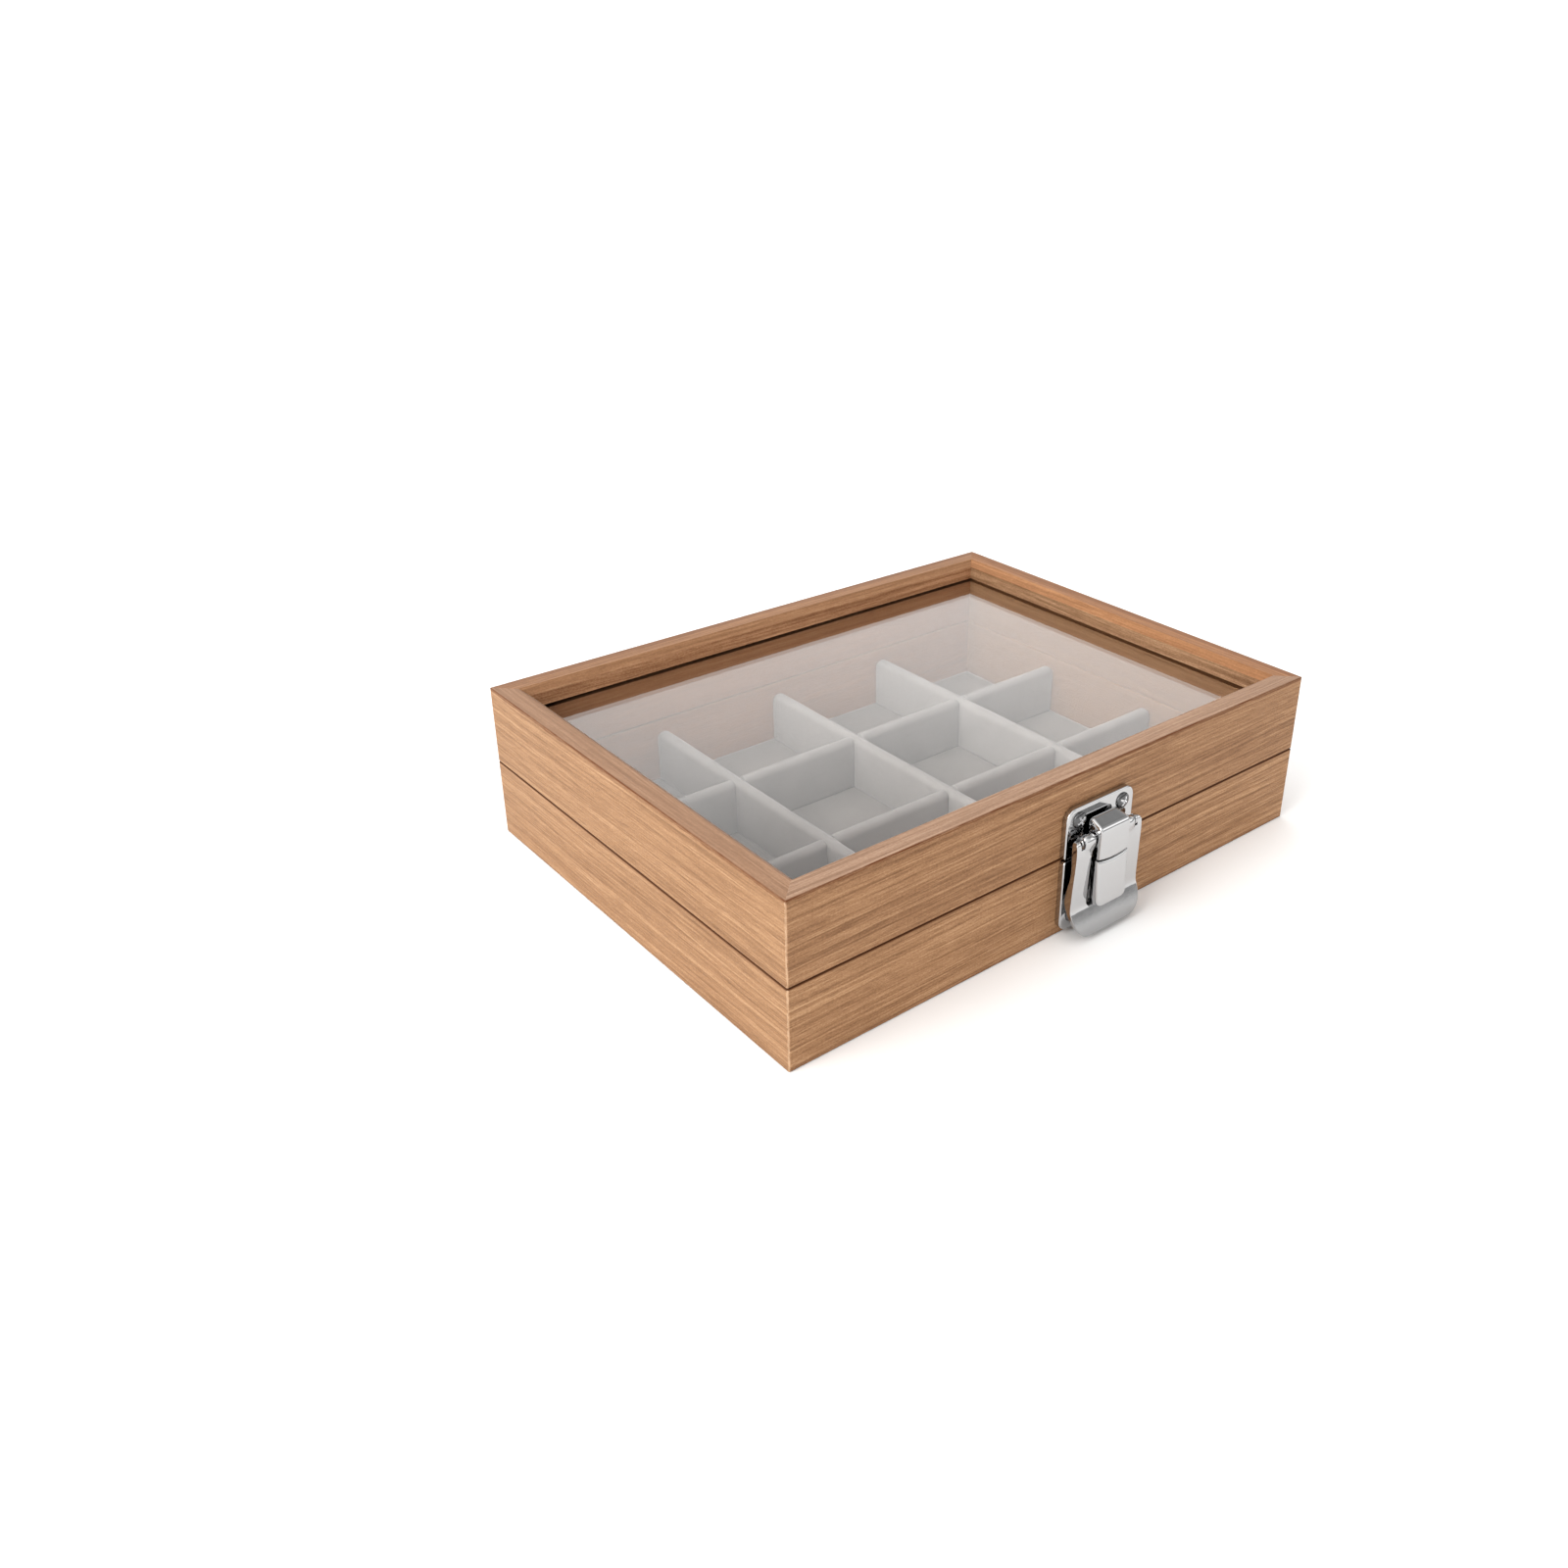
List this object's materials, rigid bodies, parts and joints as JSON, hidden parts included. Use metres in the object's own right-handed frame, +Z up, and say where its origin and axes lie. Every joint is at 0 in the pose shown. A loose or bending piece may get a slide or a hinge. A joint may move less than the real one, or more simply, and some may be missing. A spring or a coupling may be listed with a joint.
{
  "type": "jewelry organizer box",
  "caption": "Shallow wooden jewelry box with a hinged glass lid, a velvet tray of square compartments and a chrome flap clasp at the front.",
  "frame": {"origin": "middle of the underside of the box, on the surface it rests on", "axes": "+Z up; +X to the right along the width; the clasp is at the front, towards -Y"},
  "size_m": [0.2, 0.1628, 0.05],
  "materials": {
    "case_wood": "light brown straight-grained wood veneer, satin",
    "panel_wood": "plain board",
    "velvet": "light grey short-pile velvet over board",
    "glass": "clear float glass",
    "hinge_steel": "nickel-plated steel",
    "clasp_chrome": "polished chrome plate",
    "screw_steel": "zinc-plated steel"
  },
  "bodies": {
    "base": {"base_front_rail": "case_wood", "base_back_rail": "case_wood", "base_left_rail": "case_wood", "base_right_rail": "case_wood", "base_bottom_panel": "panel_wood", "floor_mat": "velvet", "divider_left": "velvet", "divider_centre": "velvet", "divider_right": "velvet", "divider_front": "velvet", "divider_back": "velvet", "left_hinge_base_leaf": "hinge_steel", "right_hinge_base_leaf": "hinge_steel", "left_hinge_pin": "hinge_steel", "right_hinge_pin": "hinge_steel", "hinge_base_screws": "hinge_steel", "clasp_base_plate": "clasp_chrome", "clasp_catch": "clasp_chrome", "clasp_base_screws": "screw_steel"},
    "lid": {"lid_front_rail": "case_wood", "lid_back_rail": "case_wood", "lid_left_rail": "case_wood", "lid_right_rail": "case_wood", "glass_pane": "glass", "left_hinge_lid_leaf": "hinge_steel", "right_hinge_lid_leaf": "hinge_steel", "hinge_lid_screws": "hinge_steel", "clasp_lid_plate": "clasp_chrome", "clasp_hinge_block": "clasp_chrome", "clasp_axle": "clasp_chrome", "clasp_lid_screws": "screw_steel"},
    "flap": {"clasp_flap": "clasp_chrome", "clasp_tongue": "clasp_chrome"}
  },
  "joints": [
    {"name": "lid_hinge", "type": "hinge", "parent": "base", "child": "lid", "pos_m": [0, 0.0772, 0.025], "axis": [-1, 0, 0], "range_deg": [0, 100]},
    {"name": "clasp_pivot", "type": "hinge", "parent": "lid", "child": "flap", "pos_m": [0.0065, -0.0799, 0.0314], "axis": [-1, 0, 0], "range_deg": [0, 120]}
  ]
}
